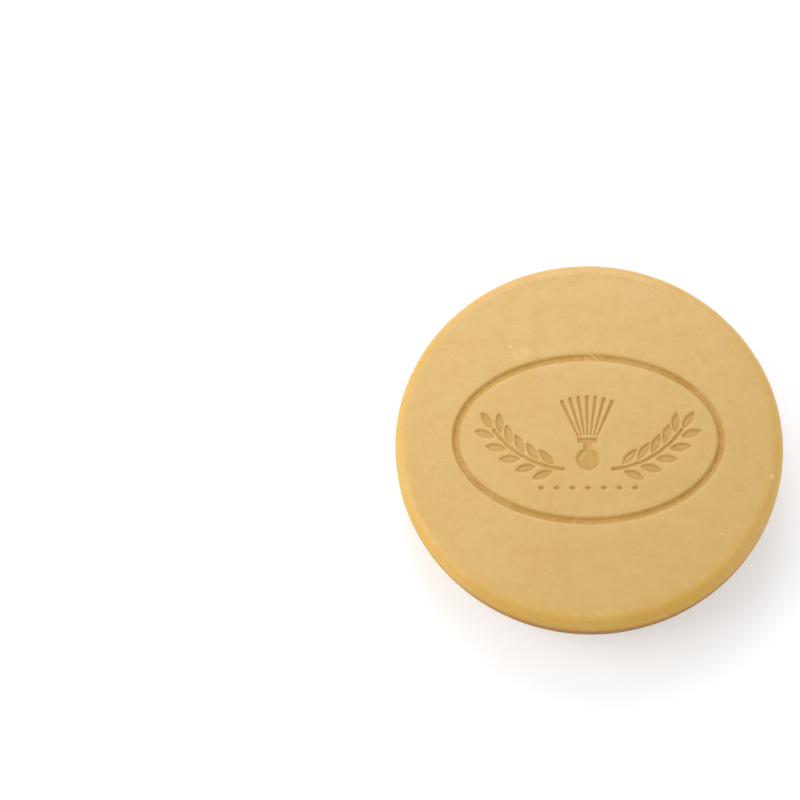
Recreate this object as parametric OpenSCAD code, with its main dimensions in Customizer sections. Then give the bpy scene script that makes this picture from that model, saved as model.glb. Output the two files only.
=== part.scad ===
// Round milled shaving soap: one pressed cake with a stamped face.
// The cake lies flat on its back, stamped face up, origin at the centre of the back.
// X runs along the long axis of the stamped oval, Y towards the top of the emblem.

/* [Cake] */
// Diameter at the widest line of the rim
cake_d = 85.5; // [76:0.5:96]
// Thickness from the back to the stamped face
cake_h = 16.5; // [14:0.5:20]
// Radius of the rounded edge round the stamped face
face_edge_r = 2.8; // [1.5:0.1:4]
// Depth of the widest line of the rim below the stamped face
widest_line_depth = 5; // [4.5:0.5:7]

/* [Oval groove] */
// Long axis of the oval, along the middle of its groove
oval_l = 58.2; // [50:0.2:60]
// Short axis of the oval, along the middle of its groove
oval_w = 38.2; // [36:0.2:44]
// Width of the groove at the face
groove_w = 1.6; // [1:0.1:2]
// Depth of the groove
groove_depth = 0.7; // [0.4:0.1:1]

/* [Emblem] */
// Depth of the stamped emblem
emblem_depth = 0.5; // [0.3:0.1:0.8]
// Width of the emblem's thin lines
line_w = 0.8; // [0.6:0.1:1]
// Height of the brush, from the foot of its handle to the tip of its bristles
brush_h = 17.6; // [14:0.2:19]
// Number of leaf pairs on each sprig
leaf_pairs = 5; // [3:1:6]
// Length of a leaf
leaf_l = 4.8; // [3.5:0.1:5]
// Width of a leaf
leaf_w = 1.9; // [1.4:0.1:2.2]
// Number of lozenges in the row under the brush
lozenges = 7; // [3:2:9]

/* [Hidden] */
cake_r = cake_d / 2;
// The lower rim is one quarter round from the widest line to the flat back.
lower_rim_r = cake_h - widest_line_depth;
// Cutters start this far above the face, so that they cut it cleanly.
cut_clear = 1;

// The brush stands on the middle of the oval, its foot this far below the centre.
brush_foot_y = -7.6;
// Heights within the brush, as shares of its whole height
handle_h = 0.43 * brush_h;
bristle_h = brush_h - handle_h;
foot_r = 0.145 * brush_h;
collar_w = 0.25 * brush_h;
collar_h = 0.065 * brush_h;
neck_w = 0.11 * brush_h;
bristle_count = 7;
bristle_fan = 46;

// Each sprig's stem is an arc that starts beside the handle's foot and sweeps up and out.
stem_r = 21;
stem_centre = [3.2, 13.6];
stem_from = -84;
stem_to = -34;
leaf_spread = 34;
leaf_gap = 0.35;
leaf_step = (stem_to - stem_from) / leaf_pairs;

lozenge_y = -11.6;
lozenge_pitch = 3.4;
lozenge_l = 1.7;
lozenge_w = 1.1;

$fn = 96;

// Half of the cake's cross-section, to the right of the axis
module rim_profile() {
    square([cake_r - lower_rim_r, cake_h]);
    translate([0, lower_rim_r])
        square([cake_r - face_edge_r, cake_h - lower_rim_r]);
    translate([0, lower_rim_r])
        square([cake_r, cake_h - lower_rim_r - face_edge_r]);
    translate([cake_r - face_edge_r, cake_h - face_edge_r])
        circle(r = face_edge_r);
    intersection() {
        translate([cake_r - lower_rim_r, lower_rim_r])
            circle(r = lower_rim_r);
        translate([cake_r - lower_rim_r, 0])
            square(lower_rim_r);
    }
}

module ellipse(half_l, half_w) {
    scale([half_l, half_w])
        circle(r = 1);
}

module oval_ring() {
    difference() {
        ellipse((oval_l + groove_w) / 2, (oval_w + groove_w) / 2);
        ellipse((oval_l - groove_w) / 2, (oval_w - groove_w) / 2);
    }
}

// A line with round ends, from the origin along +Y
module stroke(length, width) {
    circle(d = width);
    translate([-width / 2, 0])
        square([width, length]);
    translate([0, length])
        circle(d = width);
}

// A pointed leaf from the origin along +Y: the part that two circles share
module leaf(length, width) {
    side_r = (length * length + width * width) / (4 * width);
    intersection() {
        translate([side_r - width / 2, length / 2])
            circle(r = side_r);
        translate([width / 2 - side_r, length / 2])
            circle(r = side_r);
    }
}

// An arc of the stem's circle, as thick as the emblem's thin lines
module stem() {
    difference() {
        circle(r = stem_r + line_w / 2);
        circle(r = stem_r - line_w / 2);
        rotate(stem_to)
            translate([-2 * stem_r, 0])
                square(4 * stem_r);
        rotate(stem_from)
            translate([-2 * stem_r, -4 * stem_r])
                square(4 * stem_r);
    }
}

module sprig() {
    translate(stem_centre) {
        stem();
        for (i = [0 : leaf_pairs - 1], side = [-1, 1])
            rotate(stem_from + (i + 0.6) * leaf_step)
                translate([stem_r + side * (line_w / 2 + leaf_gap), 0])
                    rotate(-side * leaf_spread)
                        leaf(leaf_l, leaf_w);
        rotate(stem_to)
            translate([stem_r, leaf_gap])
                leaf(leaf_l, leaf_w);
    }
}

// A turned handle: a round foot, a neck and a collar under the bristles
module brush_handle() {
    translate([0, foot_r])
        circle(r = foot_r);
    translate([-neck_w / 2, foot_r])
        square([neck_w, handle_h - foot_r]);
    translate([-collar_w / 2, handle_h - collar_h])
        square([collar_w, collar_h]);
}

// Bristles fan out from a point inside the handle
module bristles() {
    fan_y = handle_h - bristle_h * 0.45;
    for (i = [0 : bristle_count - 1])
        translate([0, fan_y])
            rotate(bristle_fan * (0.5 - i / (bristle_count - 1)))
                translate([0, handle_h + line_w - fan_y])
                    stroke(bristle_h - 1.5 * line_w, 0.75 * line_w);
}

module brush() {
    translate([0, brush_foot_y]) {
        brush_handle();
        bristles();
    }
}

module lozenge_row() {
    for (i = [0 : lozenges - 1])
        translate([(i - (lozenges - 1) / 2) * lozenge_pitch, lozenge_y])
            polygon([[-lozenge_l / 2, 0], [0, -lozenge_w / 2], [lozenge_l / 2, 0], [0, lozenge_w / 2]]);
}

module emblem() {
    brush();
    lozenge_row();
    sprig();
    mirror([1, 0])
        sprig();
}

// Cuts the outline given as the child into the stamped face
module stamp(depth) {
    translate([0, 0, cake_h - depth])
        linear_extrude(height = depth + cut_clear)
            children();
}

module soap_cake() {
    color("#dfb775")
        difference() {
            rotate_extrude()
                rim_profile();
            stamp(groove_depth)
                oval_ring();
            stamp(emblem_depth)
                emblem();
        }
}

soap_cake();
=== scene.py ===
"""Round milled shaving soap: the cake's pressed surface, a pale table, soft light and a camera."""

import math

import bpy
import numpy as np
from mathutils import Euler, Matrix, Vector, noise
from mathutils.geometry import delaunay_2d_cdt


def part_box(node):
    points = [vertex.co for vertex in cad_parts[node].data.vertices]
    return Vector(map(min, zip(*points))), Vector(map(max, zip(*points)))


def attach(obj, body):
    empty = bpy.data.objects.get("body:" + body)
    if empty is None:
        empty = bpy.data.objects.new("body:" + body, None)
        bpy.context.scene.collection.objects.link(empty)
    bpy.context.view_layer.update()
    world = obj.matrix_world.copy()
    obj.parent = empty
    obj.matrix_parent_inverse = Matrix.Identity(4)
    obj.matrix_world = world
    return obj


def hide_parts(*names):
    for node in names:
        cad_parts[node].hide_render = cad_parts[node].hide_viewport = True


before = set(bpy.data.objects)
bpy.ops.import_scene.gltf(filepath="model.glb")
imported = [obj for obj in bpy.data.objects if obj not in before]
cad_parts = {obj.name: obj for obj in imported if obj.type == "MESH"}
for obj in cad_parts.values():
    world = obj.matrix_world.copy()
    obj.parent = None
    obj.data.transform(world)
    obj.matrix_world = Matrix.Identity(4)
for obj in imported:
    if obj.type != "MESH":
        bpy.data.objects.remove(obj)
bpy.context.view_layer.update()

# The cake's surface is worked out in millimetres and turned into metres when its mesh is made.
MM = 0.001
cake_low, cake_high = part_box("soap_cake")
CAKE_R = (cake_high.x - cake_low.x) / 2 / MM
CAKE_H = cake_high.z / MM

# Rim, from the face down: a rounded edge, a short wall, then one quarter round to the back
FACE_EDGE_R = 2.8
WIDEST_DEPTH = 5.0
LOWER_RIM_R = CAKE_H - WIDEST_DEPTH
FACE_R = CAKE_R - FACE_EDGE_R
BACK_R = CAKE_R - LOWER_RIM_R
# The surface lies this far inside the design, which leaves room for its ripples and burrs.
SKIN_INSET = 0.07

# Oval groove; the shoulder is a shallow dip on each side of it
OVAL_A = 29.1
OVAL_B = 19.1
GROOVE_W = 1.6
GROOVE_DEPTH = 0.52
GROOVE_SHOULDER = 0.06

# Emblem, laid out round the centre of the oval
EMBLEM_DEPTH = 0.42
EMBLEM_SHOULDER = 0.03
RIB_SHARE = 0.28
LEAF_RIB_W = 0.17
FOOT_RING_W = 0.2
LINE_W = 0.8
BRUSH_H = 17.6
BRUSH_FOOT_Y = -7.6
HANDLE_H = 0.43 * BRUSH_H
FOOT_R = 0.145 * BRUSH_H
COLLAR_W = 0.25 * BRUSH_H
COLLAR_H = 0.065 * BRUSH_H
NECK_W = 0.11 * BRUSH_H
BRISTLES = 7
BRISTLE_FAN = math.radians(46)
STEM_R = 21.0
STEM_CENTRE = (3.2, 13.6)
STEM_FROM = math.radians(-84)
STEM_TO = math.radians(-34)
LEAF_PAIRS = 5
LEAF_L = 4.8
LEAF_W = 1.9
LEAF_GAP = 0.35
LEAF_SPREAD = math.radians(34)
LOZENGES = 7
LOZENGE_PITCH = 3.4
LOZENGE_L = 1.7
LOZENGE_W = 1.1
LOZENGE_Y = -11.6

# Fine pressed line where the flat face ends
EDGE_LINE_INSET = 0.35
EDGE_LINE_W = 0.2
EDGE_LINE_H = 0.035

# Parting line of the die, round the widest line of the rim
SEAM_W = 0.13
SEAM_H = 0.05

BACK_HOLLOW = 0.12

# Mesh density: the step between points on relief, how often it may double away from relief, how far
# relief reaches past an edge, and how fast the step grows beyond that
FINE_STEP = 0.15
COARSE_LEVELS = 3
RELIEF_REACH = 0.42
STEP_GROWTH = 0.45
# Points in each ring of the rim, and in each row along the groove
RIM_POINTS = 600
GROOVE_POINTS = 840


def smooth(low, high, value):
    """0 below low, 1 above high, and an S-curve between them."""
    t = np.clip((value - low) / (high - low), 0.0, 1.0)
    return t * t * (3.0 - 2.0 * t)


def ripple(x, y, z, wavelength, seed):
    """Smooth noise from about -1 to 1, with one value for each point."""
    shift = Vector((17.3 * seed, -9.1 * seed, 5.7 * seed))
    scale = 1.0 / wavelength
    points = zip(x * scale, y * scale, z * scale)
    return np.array([noise.noise(Vector(p) + shift) for p in points])


# ---- Outlines, as the distance to their edge: below zero inside ----

def disc(x, y, centre, radius):
    return np.hypot(x - centre[0], y - centre[1]) - radius


def block(x, y, centre, width, height, corner):
    across = np.abs(x - centre[0]) - width / 2 + corner
    along = np.abs(y - centre[1]) - height / 2 + corner
    outside = np.hypot(np.maximum(across, 0), np.maximum(along, 0))
    return outside + np.minimum(np.maximum(across, along), 0) - corner


def stroke(x, y, start, end, start_w, end_w):
    """A line with round ends whose width changes evenly from its start to its end."""
    dx, dy = end[0] - start[0], end[1] - start[1]
    t = np.clip(((x - start[0]) * dx + (y - start[1]) * dy) / (dx * dx + dy * dy), 0, 1)
    reach = np.hypot(x - start[0] - t * dx, y - start[1] - t * dy)
    return reach - (start_w + (end_w - start_w) * t) / 2


def arc_line(x, y, centre, radius, start, end, width):
    angle = np.clip(np.arctan2(y - centre[1], x - centre[0]), start, end)
    near_x = centre[0] + radius * np.cos(angle)
    near_y = centre[1] + radius * np.sin(angle)
    return np.hypot(x - near_x, y - near_y) - width / 2


def leaf(x, y, base, angle, length, width):
    """A pointed leaf, and the height of the rib along its middle, from 0 to 1."""
    along = (x - base[0]) * math.cos(angle) + (y - base[1]) * math.sin(angle)
    across = (y - base[1]) * math.cos(angle) - (x - base[0]) * math.sin(angle)
    side_r = (length * length + width * width) / (4 * width)
    side = side_r - width / 2
    edge = np.maximum(
        np.hypot(along - length / 2, across - side) - side_r,
        np.hypot(along - length / 2, across + side) - side_r,
    )
    rib = np.exp(-((across / LEAF_RIB_W) ** 2)) * smooth(0, 0.25 * length, along)
    rib *= 1 - smooth(0.6 * length, 0.95 * length, along)
    return edge, rib


def lozenge(x, y, centre, length, width):
    slope = math.hypot(length, width)
    span = np.abs(x - centre[0]) / (length / 2) + np.abs(y - centre[1]) / (width / 2)
    return (span - 1) * length * width / 2 / slope


def sprig_leaves():
    """(base, angle) of each leaf of the sprig on the right."""
    step = (STEM_TO - STEM_FROM) / LEAF_PAIRS
    for i in range(LEAF_PAIRS):
        for side in (-1, 1):
            turn = STEM_FROM + (i + 0.6) * step
            reach = STEM_R + side * (LINE_W / 2 + LEAF_GAP)
            base = (
                STEM_CENTRE[0] + reach * math.cos(turn),
                STEM_CENTRE[1] + reach * math.sin(turn),
            )
            yield base, turn + math.pi / 2 - side * LEAF_SPREAD
    tip = (
        STEM_CENTRE[0] + STEM_R * math.cos(STEM_TO) - LEAF_GAP * math.sin(STEM_TO),
        STEM_CENTRE[1] + STEM_R * math.sin(STEM_TO) + LEAF_GAP * math.cos(STEM_TO),
    )
    yield tip, STEM_TO + math.pi / 2


def sprig(x, y):
    """The sprig on the right, and the height of its leaves' ribs, from 0 to 1."""
    edge = arc_line(x, y, STEM_CENTRE, STEM_R, STEM_FROM, STEM_TO, LINE_W)
    rib = np.zeros_like(x)
    for base, angle in sprig_leaves():
        leaf_edge, leaf_rib = leaf(x, y, base, angle, LEAF_L, LEAF_W)
        rib = np.maximum(rib, leaf_rib * (leaf_edge < 0))
        edge = np.minimum(edge, leaf_edge)
    return edge, rib


def brush(x, y):
    """The shaving brush, and the height of the ring on its foot, from 0 to 1."""
    foot_centre = (0, BRUSH_FOOT_Y + FOOT_R)
    neck_h = HANDLE_H - FOOT_R
    neck_centre = (0, BRUSH_FOOT_Y + FOOT_R + neck_h / 2)
    collar_centre = (0, BRUSH_FOOT_Y + HANDLE_H - COLLAR_H / 2)
    edge = np.minimum(
        disc(x, y, foot_centre, FOOT_R),
        block(x, y, neck_centre, NECK_W, neck_h, 0.1),
    )
    edge = np.minimum(edge, block(x, y, collar_centre, COLLAR_W, COLLAR_H, 0.3))
    bristle_h = BRUSH_H - HANDLE_H
    fan_y = HANDLE_H - 0.45 * bristle_h
    root = HANDLE_H + LINE_W - fan_y
    tip = root + bristle_h - 1.5 * LINE_W
    for i in range(BRISTLES):
        lean = BRISTLE_FAN * (i / (BRISTLES - 1) - 0.5)
        way = (math.sin(lean), math.cos(lean))
        start = (root * way[0], BRUSH_FOOT_Y + fan_y + root * way[1])
        end = (tip * way[0], BRUSH_FOOT_Y + fan_y + tip * way[1])
        edge = np.minimum(edge, stroke(x, y, start, end, 0.5 * LINE_W, LINE_W))
    # A low ring on the brush's round foot
    ring = np.exp(-((disc(x, y, foot_centre, 0.55 * FOOT_R) / FOOT_RING_W) ** 2))
    return edge, ring


def emblem(x, y):
    """Distance to the emblem's edge, and the height of its ribs, from 0 to 1."""
    edge, rib = sprig(np.abs(x), y)
    brush_edge, brush_ring = brush(x, y)
    edge = np.minimum(edge, brush_edge)
    rib = np.maximum(rib, brush_ring)
    for i in range(LOZENGES):
        centre = ((i - (LOZENGES - 1) / 2) * LOZENGE_PITCH, LOZENGE_Y)
        edge = np.minimum(edge, lozenge(x, y, centre, LOZENGE_L, LOZENGE_W))
    return edge, rib


def from_oval(x, y):
    """Distance from the middle of the groove, below zero inside the oval."""
    near = np.hypot(x / OVAL_A, y / OVAL_B)
    slope = np.hypot(x / OVAL_A**2, y / OVAL_B**2)
    return near * (near - 1) / np.maximum(slope, 1e-9)


# ---- Marks of pressing and handling, at listed places on the face ----

# Each burr crosses the groove: centre x, y, half length
BURRS = [(0.3, 18.7, 0.95), (1.9, 19.0, 1.35)]
BURR_ANGLE = math.radians(-42)
BURR_W = 0.26
BURR_H = 0.34
# Each pit: x, y, radius, depth
PITS = [
    (-31.3, -13.4, 0.28, 0.16),
    (-32.2, -14.1, 0.22, 0.12),
    (24.5, 24.0, 0.25, 0.1),
    (-9.5, -30.5, 0.22, 0.1),
    (33.0, 9.5, 0.2, 0.1),
    (-20.5, 3.5, 0.18, 0.07),
]
# Each crumb stuck on the face: x, y, radius, height
CRUMBS = [
    (-17.0, 21.7, 0.40, 0.05),
    (-16.4, 20.9, 0.22, 0.04),
    (28.5, -22.0, 0.3, 0.04),
]
# Each worn patch: x, y, half length round the rim, half width
CHIP = (39.5, -8.9, 0.80, 1.30)
RUB = (3.0, -38.9, 3.2, 1.2)
DUSTY = (-14.4, 20.4, 3.2, 1.9)
CHIP_DEPTH = 0.18
RUB_DEPTH = 0.06
# Each scratch: its two ends
SCRATCHES = [
    ((24.7, 19.3), (25.3, 14.6)),
    ((25.9, 17.9), (26.2, 15.2)),
    ((-27.4, -18.9), (-24.8, -20.3)),
]
SCRATCH_DEPTH = 0.03
# How pale each kind of mark is, where 1 is a fresh break
RUB_PALE = 0.17
DUSTY_PALE = 0.45
SCRATCH_PALE = 0.4
# How dark the painted shade in the emblem is, where 1 is the groove's
EMBLEM_SHADE = 0.62


def burrs(x, y):
    """1 along the middle of each burr, 0 away from it."""
    height = np.zeros_like(x)
    for centre_x, centre_y, half in BURRS:
        along = (x - centre_x) * math.cos(BURR_ANGLE) + (y - centre_y) * math.sin(BURR_ANGLE)
        across = (y - centre_y) * math.cos(BURR_ANGLE) - (x - centre_x) * math.sin(BURR_ANGLE)
        height += np.exp(-((across / BURR_W) ** 2)) * (1 - smooth(0.5 * half, half, np.abs(along)))
    return height


def spots(x, y, rows):
    """Height of round bumps, or depth of round pits: each is x, y, radius and size."""
    height = np.zeros_like(x)
    for spot_x, spot_y, radius, size in rows:
        height += size * np.exp(-(((x - spot_x) ** 2 + (y - spot_y) ** 2) / radius**2))
    return height


def patch(x, y, row):
    """0 to 1 within a worn oval whose long side follows the rim."""
    centre_x, centre_y, half_l, half_w = row
    turn = math.atan2(centre_y, centre_x)
    out = (x - centre_x) * math.cos(turn) + (y - centre_y) * math.sin(turn)
    round_rim = (y - centre_y) * math.cos(turn) - (x - centre_x) * math.sin(turn)
    return 1 - smooth(0.35, 1.0, np.hypot(out / half_w, round_rim / half_l))


def scratches(x, y):
    """1 along each scratch, 0 away from it."""
    depth = np.zeros_like(x)
    for start, end in SCRATCHES:
        depth = np.maximum(depth, 1 - smooth(-0.05, 0.12, stroke(x, y, start, end, 0.16, 0.1)))
    return depth


def painted_recess_shade(x, y):
    """Painted shade in the recesses: 1 at the bottom of the groove, less in the emblem, and 0 on
    the flat face.
    """
    edge, _ = emblem(x, y)
    groove = 1 - smooth(0.27 * GROOVE_W, 0.74 * GROOVE_W, np.abs(from_oval(x, y)))
    groove *= 1 - 0.6 * np.clip(burrs(x, y), 0, 1)
    return np.maximum(groove, EMBLEM_SHADE * (1 - smooth(-0.22, 0.2, edge)))


def worn(x, y):
    """1 where the soap is rubbed or freshly broken, and so paler."""
    crumbs = spots(x, y, [(spot_x, spot_y, radius, 1.0) for spot_x, spot_y, radius, _ in CRUMBS])
    rubbed = np.maximum(RUB_PALE * patch(x, y, RUB), DUSTY_PALE * patch(x, y, DUSTY))
    broken = np.maximum(patch(x, y, CHIP), SCRATCH_PALE * scratches(x, y))
    return np.clip(np.maximum(crumbs, np.maximum(rubbed, broken)), 0, 1)


def face_height(x, y):
    """Height of the stamped face above the back."""
    from_groove = np.abs(from_oval(x, y))
    groove = 1 - smooth(0.10 * GROOVE_W, 0.66 * GROOVE_W, from_groove)
    shoulder = 1 - smooth(0.5 * GROOVE_W, GROOVE_W, from_groove)
    sunk = GROOVE_DEPTH * groove - BURR_H * burrs(x, y) * groove + GROOVE_SHOULDER * shoulder
    edge, rib = emblem(x, y)
    stamp = 1 - smooth(-0.26, 0.14, edge)
    shoulder = 1 - smooth(0, 0.45, edge)
    sunk += EMBLEM_DEPTH * stamp * (1 - RIB_SHARE * rib) + EMBLEM_SHOULDER * shoulder
    sunk += spots(x, y, PITS) - spots(x, y, CRUMBS)
    sunk += CHIP_DEPTH * patch(x, y, CHIP) + SCRATCH_DEPTH * scratches(x, y)
    flat = np.zeros_like(x)
    rough = ripple(x, y, flat, 0.9, 1)
    sunk += RUB_DEPTH * patch(x, y, RUB) * (1 + 0.5 * rough)
    # Slight waves of the pressed surface
    sunk += 0.022 * ripple(x, y, flat, 13.0, 2) + 0.010 * ripple(x, y, flat, 4.0, 3)
    # The pressed line is clearest at the upper right.
    edge_line = np.exp(-(((np.hypot(x, y) - FACE_R + EDGE_LINE_INSET) / EDGE_LINE_W) ** 2))
    sunk -= EDGE_LINE_H * edge_line * smooth(-0.2, 0.9, (x + y) / FACE_R)
    return CAKE_H - SKIN_INSET - sunk


# ---- Points of the face, dense where it has relief ----

def groove_points():
    """Rows of points that follow the groove, and how far from its middle they reach."""
    turn = np.linspace(0, 2 * math.pi, GROOVE_POINTS, endpoint=False)
    normal = np.stack([np.cos(turn) / OVAL_A, np.sin(turn) / OVAL_B])
    normal /= np.hypot(*normal)
    # Rows on each side, by their distance from the middle: closest together on the slopes
    side = [0.12, 0.26, 0.38, 0.5, 0.62, 0.74, 0.86, 0.98, 1.12, 1.35]
    offsets = [-s for s in reversed(side)] + [0] + side
    rows = []
    for offset in offsets:
        rows.append(np.stack([
            OVAL_A * np.cos(turn) + offset * normal[0],
            OVAL_B * np.sin(turn) + offset * normal[1],
        ], axis=1))
    return np.concatenate(rows), side[-1]


def wanted_step(x, y):
    """How far apart the points may be at each place on the face."""
    edge, _ = emblem(x, y)
    relief = np.abs(edge) - RELIEF_REACH
    for spot_x, spot_y, radius, _ in PITS + CRUMBS:
        relief = np.minimum(relief, np.hypot(x - spot_x, y - spot_y) - 2.2 * radius)
    for centre_x, centre_y, half_l, half_w in (CHIP, RUB):
        relief = np.minimum(relief, np.hypot(x - centre_x, y - centre_y) - max(half_l, half_w))
    for start, end in SCRATCHES:
        relief = np.minimum(relief, stroke(x, y, start, end, 0.5, 0.5))
    return FINE_STEP + STEP_GROWTH * np.maximum(relief, 0)


def lattice(radius, step_wanted):
    """Square lattice of points within a radius, thinned by halves where detail isn't wanted."""
    count = int(radius / FINE_STEP) + 1
    index = np.arange(-count, count + 1)
    i, j = [g.ravel() for g in np.meshgrid(index, index)]
    x, y = i * FINE_STEP, j * FINE_STEP
    level = np.full(len(i), COARSE_LEVELS)
    for step in range(COARSE_LEVELS, 0, -1):
        level[(i % 2**step != 0) | (j % 2**step != 0)] = step - 1
    keep = np.hypot(x, y) < radius
    x, y, level = x[keep], y[keep], level[keep]
    coarsest = FINE_STEP * 2**COARSE_LEVELS
    keep = FINE_STEP * 2.0**level >= 0.99 * np.minimum(step_wanted(x, y), coarsest) / 2
    keep |= level == COARSE_LEVELS
    return np.stack([x[keep], y[keep]], axis=1)


def circle_points(radius):
    turn = np.linspace(0, 2 * math.pi, RIM_POINTS, endpoint=False)
    return np.stack([radius * np.cos(turn), radius * np.sin(turn)], axis=1)


def triangles(points):
    """Delaunay triangles of points in the plane, counter-clockwise, as indices into the points."""
    made = delaunay_2d_cdt([Vector(p) for p in points], [], [], 0, 1e-6, False)
    if len(made[0]) != len(points):
        raise RuntimeError("two points of the surface coincide")
    return np.array(made[2])


def face_points():
    """The face's points, its outermost ring first."""
    groove, groove_reach = groove_points()
    inner = [circle_points(FACE_R - gap) for gap in (0.14, 0.28, 0.42, 0.56, 0.72, 0.95)]
    filling = lattice(FACE_R - 1.1, wanted_step)
    filling = filling[np.abs(from_oval(filling[:, 0], filling[:, 1])) > groove_reach + 0.1]
    return np.concatenate([circle_points(FACE_R)] + inner + [groove, filling])


def back_points():
    """The back's points, its outermost ring first."""
    coarse = FINE_STEP * 2**COARSE_LEVELS
    filling = lattice(BACK_R - coarse, lambda x, y: np.full_like(x, 2 * coarse))
    return np.concatenate([circle_points(BACK_R), filling])


# ---- Rim ----

def rim_profile():
    """(radius, height, outward, upward) from the face to the back, face and back rings left out."""
    rows = []
    for angle in np.linspace(0, math.pi / 2, 15)[1:]:
        out, up = math.sin(angle), math.cos(angle)
        rows.append((FACE_R + FACE_EDGE_R * out, CAKE_H - FACE_EDGE_R * (1 - up), out, up))
    # The rings crowd towards the parting line, from both sides.
    seam = CAKE_H - WIDEST_DEPTH
    for height in (1.75, 1.35, 1.0, 0.7, 0.45, 0.3, 0.2, 0.1, 0.0):
        rows.append((CAKE_R, seam + height, 1, 0))
    first_turns = [0.1 / LOWER_RIM_R, 0.2 / LOWER_RIM_R, 0.32 / LOWER_RIM_R]
    for angle in first_turns + list(np.linspace(0, math.pi / 2, 24)[1:-1]):
        out, up = math.cos(angle), -math.sin(angle)
        rows.append((BACK_R + LOWER_RIM_R * out, LOWER_RIM_R * (1 + up), out, up))
    return rows


def rim_rows():
    """The rim's points, one ring after another, with a faint parting line and slight ripples."""
    turn = np.linspace(0, 2 * math.pi, RIM_POINTS, endpoint=False)
    cos, sin = np.cos(turn), np.sin(turn)
    rings = []
    for radius, height, out, up in rim_profile():
        x, y = radius * cos, radius * sin
        z = np.full_like(x, height)
        inset = SKIN_INSET + 0.025 * ripple(x, y, z, 9.0, 4) + 0.010 * ripple(x, y, z, 2.6, 5)
        seam = np.exp(-(((height - CAKE_H + WIDEST_DEPTH) / SEAM_W) ** 2))
        inset -= SEAM_H * seam * (1 + 0.5 * ripple(x, y, z, 3.0, 6))
        edge = smooth(0.0, 1.0, (height - (CAKE_H - FACE_EDGE_R)) / FACE_EDGE_R)
        rough = 1 + 0.5 * ripple(x, y, z, 0.9, 1)
        inset += edge * (RUB_DEPTH * patch(x, y, RUB) * rough + CHIP_DEPTH * patch(x, y, CHIP))
        rings.append(np.stack([
            (radius - inset * out) * cos,
            (radius - inset * out) * sin,
            z - inset * up,
        ], axis=1))
    return rings


def ring_band(first, second):
    """Triangles between two rings, each given by the index of its first point."""
    here = np.arange(RIM_POINTS)
    after = (here + 1) % RIM_POINTS
    return np.concatenate([
        np.stack([first + here, second + here, second + after], axis=1),
        np.stack([first + here, second + after, first + after], axis=1),
    ])


def back_height(x, y):
    """The back is very slightly hollow, so the cake rests near the back's edge."""
    radius = np.hypot(x, y) / BACK_R
    hollow = BACK_HOLLOW * (1 - radius**2) * (1 + 0.3 * ripple(x, y, np.zeros_like(x), 12.0, 7))
    return np.maximum(hollow, 0)


def cake_surface():
    """The whole closed skin of the cake: face, rim and back."""
    face_xy, back_xy = face_points(), back_points()
    face = np.column_stack([face_xy, face_height(face_xy[:, 0], face_xy[:, 1])])
    back = np.column_stack([back_xy, back_height(back_xy[:, 0], back_xy[:, 1])])
    rings = rim_rows()
    rim_start = len(face)
    back_start = rim_start + RIM_POINTS * len(rings)
    points = np.concatenate([face] + rings + [back])
    starts = [0] + [rim_start + RIM_POINTS * k for k in range(len(rings))] + [back_start]
    faces = [triangles(face_xy)]
    faces += [ring_band(first, second) for first, second in zip(starts, starts[1:])]
    faces.append(triangles(back_xy)[:, ::-1] + back_start)
    return points, np.concatenate(faces)


def make_cake():
    """The cake's mesh, with the masks of its painted recess shade and worn places for the material.
    """
    points, faces = cake_surface()
    mesh = bpy.data.meshes.new("pressed_soap")
    mesh.from_pydata((points * MM).tolist(), [], faces.tolist())
    mesh.shade_smooth()
    mesh.update()
    x, y, z = points.T
    on_upper_half = z > CAKE_H / 2
    for name, values in (("recess_shade", painted_recess_shade(x, y)), ("worn", worn(x, y))):
        attribute = mesh.attributes.new(name, "FLOAT", "POINT")
        attribute.data.foreach_set("value", (values * on_upper_half).astype(np.float32))
    cake = bpy.data.objects.new("pressed_soap", mesh)
    bpy.context.scene.collection.objects.link(cake)
    return cake


# ---- Materials ----

# Colours of the soap by place: flat face, rim, rim towards the front with painted shade, side and
# painted shade in the recesses
FACE_COLOUR = (0.638, 0.405, 0.122, 1)
RIM_COLOUR = (0.685, 0.412, 0.093, 1)
GOLDEN_SHADE_COLOUR = (0.672, 0.382, 0.044, 1)
SIDE_COLOUR = (0.675, 0.390, 0.046, 1)
RECESS_SHADE_COLOUR = (0.490, 0.252, 0.032, 1)
# The uneven tones within the soap, and the rubbed or broken soap
PALE_COLOUR = (0.700, 0.475, 0.185, 1)
DEEP_COLOUR = (0.590, 0.340, 0.075, 1)
WORN_COLOUR = (0.800, 0.600, 0.300, 1)
# Painted shade: these darken the lower rim all round, and once more towards the front.
UNDER_SHADE_TINT = (0.660, 0.560, 0.450, 1)
FRONT_SHADE_TINT = (0.690, 0.585, 0.530, 1)
# The front is towards the camera and a little to the right.
FRONT_WAY = (0.30, -0.95)


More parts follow.
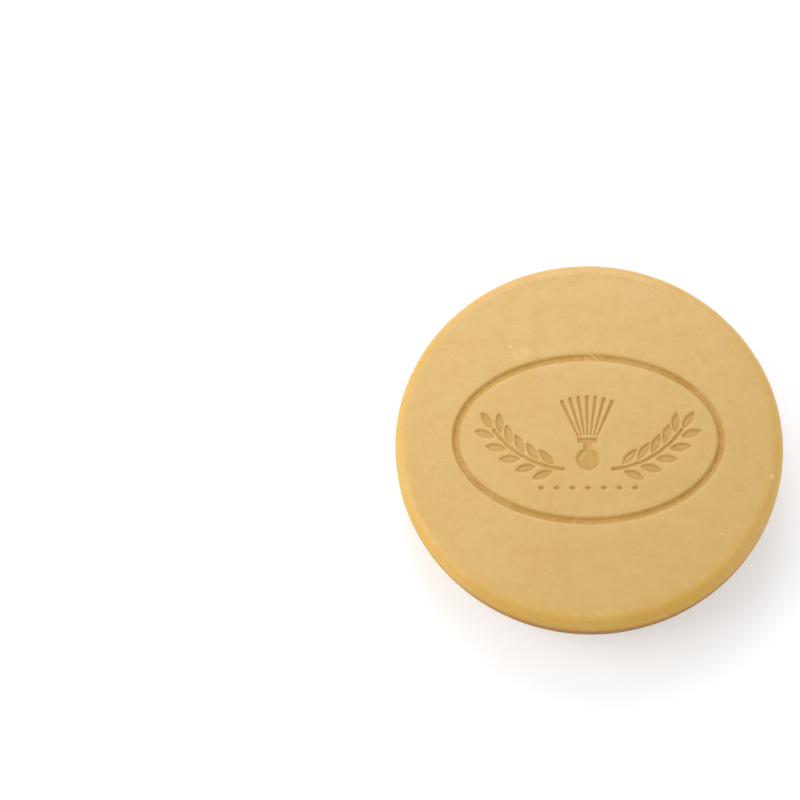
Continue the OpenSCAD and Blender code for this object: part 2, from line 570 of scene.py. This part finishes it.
class Surface:
    """A material, with a short call for each kind of node. Its lengths are in millimetres."""

    def __init__(self, name):
        self.material = bpy.data.materials.new(name)
        self.material.use_nodes = True
        self.tree = self.material.node_tree
        self.shader = self.tree.nodes["Principled BSDF"]

    def feed(self, socket, value):
        """Link a node's output to the socket, or set the socket's own value."""
        if isinstance(value, bpy.types.NodeSocket):
            self.tree.links.new(value, socket)
        else:
            socket.default_value = value

    def shade(self, values):
        for name, value in values.items():
            self.feed(self.shader.inputs[name], value)

    def node(self, kind, **values):
        made = self.tree.nodes.new(kind)
        for name, value in values.items():
            if name in made.inputs:
                self.feed(made.inputs[name], value)
            else:
                setattr(made, name, value)
        return made

    def math(self, operation, first, second=0.0):
        made = self.node("ShaderNodeMath", operation=operation)
        self.feed(made.inputs[0], first)
        self.feed(made.inputs[1], second)
        return made.outputs["Value"]

    def mix(self, factor, first, second, blend="MIX"):
        made = self.node("ShaderNodeMix", data_type="RGBA", blend_type=blend)
        for name, value in (("Factor", factor), ("A", first), ("B", second)):
            self.feed([s for s in made.inputs if s.name == name and s.enabled][0], value)
        return [s for s in made.outputs if s.enabled][0]

    def span(self, source, low, high, to_low, to_high):
        """An S-curve from to_low, where the source is low, to to_high, where it is high."""
        made = self.node("ShaderNodeMapRange", interpolation_type="SMOOTHSTEP", Value=source)
        ends = {"From Min": low, "From Max": high, "To Min": to_low, "To Max": to_high}
        for name, value in ends.items():
            made.inputs[name].default_value = value
        return made.outputs["Result"]

    def zone(self, place, low, high, to_low, to_high):
        """The same, for a place on the cake between two lengths."""
        return self.span(place, low * MM, high * MM, to_low, to_high)

    def mask(self, name):
        """A mask that the mesh carries."""
        return self.node("ShaderNodeAttribute", attribute_name=name).outputs["Fac"]

    def places(self):
        """The point's place on the object, as a vector and as x, y and z."""
        place = self.node("ShaderNodeTexCoord").outputs["Object"]
        return place, self.node("ShaderNodeSeparateXYZ", Vector=place).outputs

    def noise(self, place, wavelength, detail, stretch=(1, 1, 1), distortion=0.0):
        mapping = self.node("ShaderNodeMapping", Vector=place, Scale=stretch)
        made = self.node(
            "ShaderNodeTexNoise",
            Vector=mapping.outputs["Vector"],
            Scale=1 / (wavelength * MM),
            Detail=detail,
            Distortion=distortion,
        )
        return made.outputs["Fac"]


def colour_by_place(soap, x, y, z, recess_shade, side):
    """The even colour of each part of the cake, with painted shade in the recesses and on the front
    of the rim, and how much of each painted shade tint its lower rim gets.
    """
    square = soap.math("ADD", soap.math("MULTIPLY", x, x), soap.math("MULTIPLY", y, y))
    from_axis = soap.math("SQRT", square)
    on_rim = soap.zone(from_axis, FACE_R - 0.6, CAKE_R - 0.5, 0.0, 1.0)
    near_rim = soap.zone(from_axis, FACE_R - 2.0, CAKE_R - 0.5, 0.0, 1.0)
    across, along = soap.math("MULTIPLY", x, FRONT_WAY[0]), soap.math("MULTIPLY", y, FRONT_WAY[1])
    front = soap.zone(soap.math("ADD", across, along), 0.25 * CAKE_R, 0.95 * CAKE_R, 0.0, 1.0)
    # Painted shade: the rim is deeper and more golden on its lower half and towards the front.
    golden_shade = soap.math("MULTIPLY", on_rim, soap.zone(y, -CAKE_R, 0.0, 1.0, 0.0))
    golden_shade = soap.math("MAXIMUM", golden_shade, soap.math("MULTIPLY", near_rim, front))

    colour = soap.mix(on_rim, FACE_COLOUR, RIM_COLOUR)
    colour = soap.mix(golden_shade, colour, GOLDEN_SHADE_COLOUR)
    colour = soap.mix(side, colour, SIDE_COLOUR)
    # Painted shade in the groove and emblem.
    colour = soap.mix(recess_shade, colour, RECESS_SHADE_COLOUR)

    # Painted shade under the rim, and more of it at the front.
    under_shade = soap.zone(z, CAKE_H - 7.5, CAKE_H - 1.6, 1.0, 0.0)
    front_shade = soap.math("MULTIPLY", front, soap.zone(z, CAKE_H - 4.8, CAKE_H - 0.7, 1.0, 0.0))
    return colour, under_shade, front_shade


def soap_material():
    soap = Surface("milled_soap")
    place, (x, y, z) = soap.places()
    # Painted shade in the groove and emblem; the same mask dulls them.
    recess_shade = soap.mask("recess_shade")
    side = soap.zone(z, CAKE_H - 2.8, CAKE_H - 0.8, 1.0, 0.0)
    colour, under_shade, front_shade = colour_by_place(soap, x, y, z, recess_shade, side)

    cloud = soap.noise(place, 14, 3.0, distortion=0.8)
    colour = soap.mix(soap.span(cloud, 0.35, 0.7, 0.0, 0.22), colour, PALE_COLOUR)
    streak = soap.noise(place, 9, 4.0, stretch=(0.35, 2.2, 1), distortion=0.4)
    colour = soap.mix(soap.span(streak, 0.45, 0.75, 0.0, 0.18), colour, DEEP_COLOUR)
    mottle = soap.noise(place, 3, 4.0, distortion=0.6)
    colour = soap.mix(soap.span(mottle, 0.40, 0.70, 0.0, 0.30), colour, DEEP_COLOUR)
    speck = soap.noise(place, 1.1, 2.0)
    colour = soap.mix(soap.span(speck, 0.45, 0.75, 0.0, 0.28), colour, PALE_COLOUR)

    # Painted shade: the lower rim darker all round, and more towards the front.
    colour = soap.mix(under_shade, colour, UNDER_SHADE_TINT, "MULTIPLY")
    colour = soap.mix(front_shade, colour, FRONT_SHADE_TINT, "MULTIPLY")
    flecks = soap.span(soap.noise(place, 0.7, 2.0), 0.40, 0.60, 0.1, 0.75)
    colour = soap.mix(soap.math("MULTIPLY", soap.mask("worn"), flecks), colour, WORN_COLOUR)

    # The face is satin; the side and the recesses, which no hand has smoothed, are duller.
    broad = soap.span(soap.noise(place, 6, 3.0), 0.3, 0.7, 0.40, 0.52)
    fine = soap.span(soap.noise(place, 0.9, 2.0), 0.3, 0.7, -0.04, 0.04)
    roughness = soap.math("ADD", broad, fine)
    roughness = soap.math("ADD", roughness, soap.math("MULTIPLY", side, 0.34))
    roughness = soap.math("ADD", roughness, soap.math("MULTIPLY", recess_shade, 0.2))

    fine_grain = soap.math("MULTIPLY", soap.noise(place, 0.7, 3.0), 0.7)
    drawn_grain = soap.noise(place, 2.2, 3.0, stretch=(0.5, 1.6, 1))
    grain = soap.math("ADD", fine_grain, drawn_grain)
    bump = soap.node("ShaderNodeBump", Strength=1.0, Distance=0.05 * MM, Height=grain)

    soap.shade({
        "Base Color": colour,
        "Roughness": roughness,
        "Normal": bump.outputs["Normal"],
        "IOR": 1.52,
        "Subsurface Weight": 0.3,
        "Subsurface Radius": (1.0, 0.55, 0.25),
        "Subsurface Scale": 1.6 * MM,
    })
    return soap.material


def table_material():
    """Pale, and lit a little from within, as the bright floor of a photo studio looks."""
    table = Surface("pale_table")
    table.shade({
        "Base Color": (0.7, 0.7, 0.7, 1),
        "Roughness": 0.7,
        "Emission Color": (1, 1, 1, 1),
        "Emission Strength": 0.38,
    })
    return table.material


# ---- Stage, in metres ----

TABLE_HALF = 4.0

def make_table():
    half = TABLE_HALF
    corners = [(-half, -half, 0), (half, -half, 0), (half, half, 0), (-half, half, 0)]
    mesh = bpy.data.meshes.new("table")
    mesh.from_pydata(corners, [], [(0, 1, 2, 3)])
    table = bpy.data.objects.new("table", mesh)
    bpy.context.scene.collection.objects.link(table)
    table.data.materials.append(table_material())


def soft_light(name, place, size, power, colour, spread=180):
    """A square softbox that faces the cake and fans out over so many degrees."""
    data = bpy.data.lights.new(name, "AREA")
    data.shape = "SQUARE"
    data.size = size
    data.energy = power
    data.color = colour
    data.spread = math.radians(spread)
    light = bpy.data.objects.new(name, data)
    light.location = place
    aim = Vector((0, 0, CAKE_H * MM)) - Vector(place)
    light.rotation_euler = aim.to_track_quat("-Z", "Y").to_euler()
    bpy.context.scene.collection.objects.link(light)


def make_lights():
    world = bpy.data.worlds.new("studio")
    world.use_nodes = True
    background = world.node_tree.nodes["Background"]
    background.inputs["Color"].default_value = (1.0, 1.0, 1.0, 1)
    background.inputs["Strength"].default_value = 0.60
    bpy.context.scene.world = world
    soft_light("top_key", (-0.01, 0.205, 0.195), 0.2, 0.38, (0.92, 0.98, 1.15))
    soft_light("left_key", (-0.20, -0.04, 0.165), 0.18, 0.30, (1.0, 1.0, 1.0))
    soft_light("right_fill", (0.40, -0.12, 0.085), 0.12, 0.062, (0.94, 0.98, 1.05), spread=90)


# The camera looks down on the face, a little turned and rolled. The cake is right of the middle
# of the picture and below it.
VIEW_AZIMUTH = -4.64
VIEW_ELEVATION = 69.99
VIEW_DISTANCE = 0.4016
VIEW_TURN = (1.187, 5.905, 4.238)
LENS = 81.7


def make_camera():
    azimuth, elevation = math.radians(VIEW_AZIMUTH), math.radians(VIEW_ELEVATION)
    back = Vector((
        math.sin(azimuth) * math.cos(elevation),
        -math.cos(azimuth) * math.cos(elevation),
        math.sin(elevation),
    ))
    data = bpy.data.cameras.new("camera")
    data.lens = LENS
    camera = bpy.data.objects.new("camera", data)
    camera.location = Vector((0, 0, CAKE_H * MM)) + VIEW_DISTANCE * back
    aim = (-back).to_track_quat("-Z", "Y")
    turn = Euler([math.radians(angle) for angle in VIEW_TURN])
    camera.rotation_mode = "QUATERNION"
    camera.rotation_quaternion = aim @ turn.to_quaternion()
    bpy.context.scene.collection.objects.link(camera)
    bpy.context.scene.camera = camera


make_camera()
make_table()
make_lights()
bpy.context.scene.view_settings.view_transform = "Standard"

cake = make_cake()
cake.data.materials.append(soap_material())
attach(cake, "root")
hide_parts("soap_cake")
